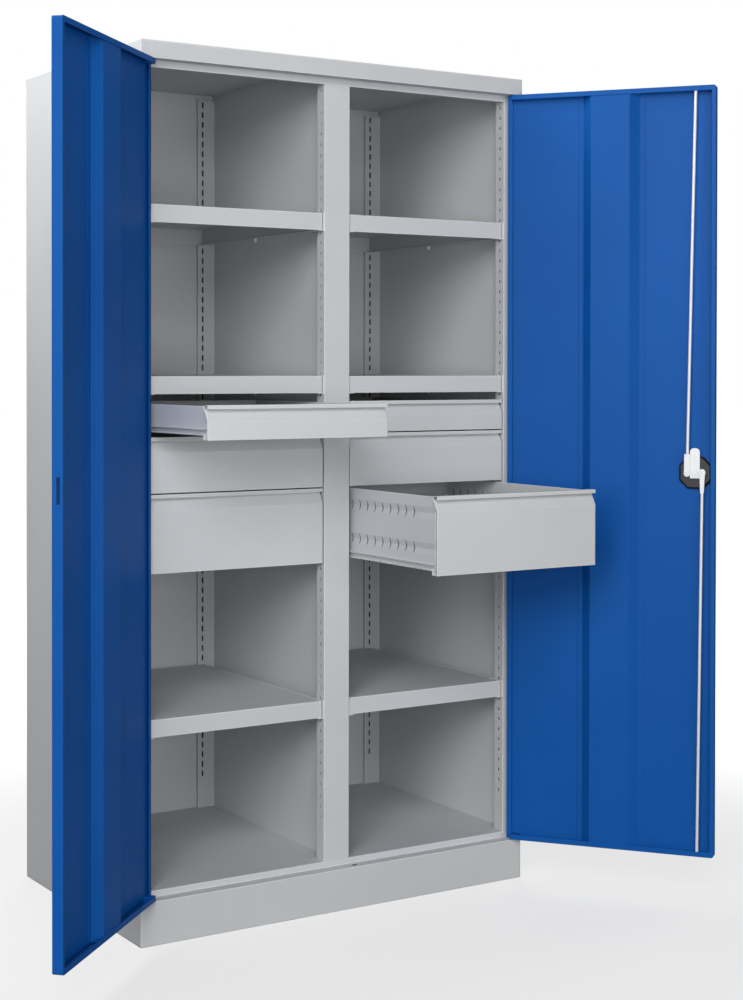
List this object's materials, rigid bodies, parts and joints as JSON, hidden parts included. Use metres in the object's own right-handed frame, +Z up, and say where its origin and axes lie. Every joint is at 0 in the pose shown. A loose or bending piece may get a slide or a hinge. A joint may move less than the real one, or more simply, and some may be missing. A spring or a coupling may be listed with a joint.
{
  "type": "storage cabinet",
  "caption": "Tall sheet-steel cabinet: two hinged doors, shelves either side of a partition, pull-out drawers, and a turning-knob lock driving a rod to the top and bottom.",
  "frame": {"origin": "middle of the plinth's front edge on the floor, in the plane of the header's and the plinth's faces", "axes": "+Z up; -Y is the way the doors face; +X is to the right of someone who faces them"},
  "size_m": [1.6447, 1.0445, 1.95],
  "materials": {
    "grey_paint": "fine matt powder coat, light grey",
    "blue_paint": "satin powder coat, gentian blue",
    "zinc": "zinc-plated, dull",
    "white_steel": "white-passivated zinc, dull",
    "black_plastic": "black moulded plastic, fine grain",
    "key_metal": "polished plated brass"
  },
  "bodies": {
    "carcass": {"side_panel_left": "grey_paint", "side_panel_right": "grey_paint", "rear_panel": "grey_paint", "roof_panel": "grey_paint", "floor_panel": "grey_paint", "partition": "grey_paint", "header": "grey_paint", "plinth": "grey_paint", "front_upright_left": "grey_paint", "front_upright_right": "grey_paint", "centre_post": "grey_paint", "rear_rail_left_outer": "grey_paint", "rear_rail_left_inner": "grey_paint", "rear_rail_right_inner": "grey_paint", "rear_rail_right_outer": "grey_paint", "shelf_left_upper": "grey_paint", "shelf_left_middle": "grey_paint", "shelf_left_lower": "grey_paint", "shelf_right_upper": "grey_paint", "shelf_right_middle": "grey_paint", "shelf_right_lower": "grey_paint", "shelf_supports_left": "grey_paint", "drawer_runners_left": "grey_paint", "shelf_supports_right": "grey_paint", "drawer_runners_right": "grey_paint"},
    "door_left": {"door_left": "blue_paint", "door_stiffener_left": "blue_paint", "door_pivots_left": "blue_paint"},
    "door_right": {"door_right": "blue_paint", "door_stiffener_right": "blue_paint", "door_pivots_right": "blue_paint", "lock_housing": "black_plastic", "lock_plate": "black_plastic"},
    "lock": {"lock_knob": "black_plastic", "lock_spindle": "zinc", "lock_cam": "white_steel", "cam_screw": "white_steel"},
    "key_core": {"key_core": "key_metal"},
    "rod_upper": {"rod_link_upper": "white_steel", "lock_rod_upper": "white_steel"},
    "rod_lower": {"rod_link_lower": "white_steel", "lock_rod_lower": "white_steel"},
    "drawer_left_thin": {"drawer_front_left_thin": "grey_paint", "drawer_tray_left_thin": "grey_paint"},
    "drawer_left_medium": {"drawer_front_left_medium": "grey_paint", "drawer_tray_left_medium": "grey_paint"},
    "drawer_left_deep": {"drawer_front_left_deep": "grey_paint", "drawer_tray_left_deep": "grey_paint"},
    "drawer_right_thin": {"drawer_front_right_thin": "grey_paint", "drawer_tray_right_thin": "grey_paint"},
    "drawer_right_medium": {"drawer_front_right_medium": "grey_paint", "drawer_tray_right_medium": "grey_paint"},
    "drawer_right_deep": {"drawer_front_right_deep": "grey_paint", "drawer_tray_right_deep": "grey_paint"}
  },
  "joints": [
    {"name": "door_left_hinge", "type": "hinge", "parent": "carcass", "child": "door_left", "pos_m": [-0.492, 0.005, 0.097], "axis": [0, 0, -1], "range_deg": [-41.3, 43.7]},
    {"name": "door_right_hinge", "type": "hinge", "parent": "carcass", "child": "door_right", "pos_m": [0.492, 0.005, 0.097], "axis": [0, 0, 1], "range_deg": [-32.5, 52.5]},
    {"name": "drawer_left_thin_slide", "type": "slide", "parent": "carcass", "child": "drawer_left_thin", "axis": [0, -1, 0], "range_m": [-0.274, 0.176]},
    {"name": "drawer_left_medium_slide", "type": "slide", "parent": "carcass", "child": "drawer_left_medium", "axis": [0, -1, 0], "range_m": [0, 0.45]},
    {"name": "drawer_left_deep_slide", "type": "slide", "parent": "carcass", "child": "drawer_left_deep", "axis": [0, -1, 0], "range_m": [0, 0.45]},
    {"name": "drawer_right_thin_slide", "type": "slide", "parent": "carcass", "child": "drawer_right_thin", "axis": [0, -1, 0], "range_m": [0, 0.45]},
    {"name": "drawer_right_medium_slide", "type": "slide", "parent": "carcass", "child": "drawer_right_medium", "axis": [0, -1, 0], "range_m": [0, 0.45]},
    {"name": "drawer_right_deep_slide", "type": "slide", "parent": "carcass", "child": "drawer_right_deep", "axis": [0, -1, 0], "range_m": [-0.357, 0.093]},
    {"name": "lock_turn", "type": "hinge", "parent": "door_right", "child": "lock", "pos_m": [0.76534, -0.34302, 1.001], "axis": [0.7934, 0.6088, 0], "range_deg": [0, 90]},
    {"name": "key_turn", "type": "hinge", "parent": "lock", "child": "key_core", "pos_m": [0.76534, -0.34302, 1.001], "axis": [0.7934, 0.6088, 0], "range_deg": [0, 90]},
    {"name": "rod_upper_slide", "type": "slide", "parent": "door_right", "child": "rod_upper", "axis": [0.0121, -0.0157, 0.9998], "range_m": [0, 0.0182]},
    {"name": "rod_lower_slide", "type": "slide", "parent": "door_right", "child": "rod_lower", "axis": [-0.0067, 0.0088, -0.9999], "range_m": [0, 0.0182]}
  ],
  "couplings": [
    {"joint": "rod_upper_slide", "follows": "lock_turn", "m_per_rad": 0.011459},
    {"joint": "rod_lower_slide", "follows": "lock_turn", "m_per_rad": 0.011459}
  ]
}
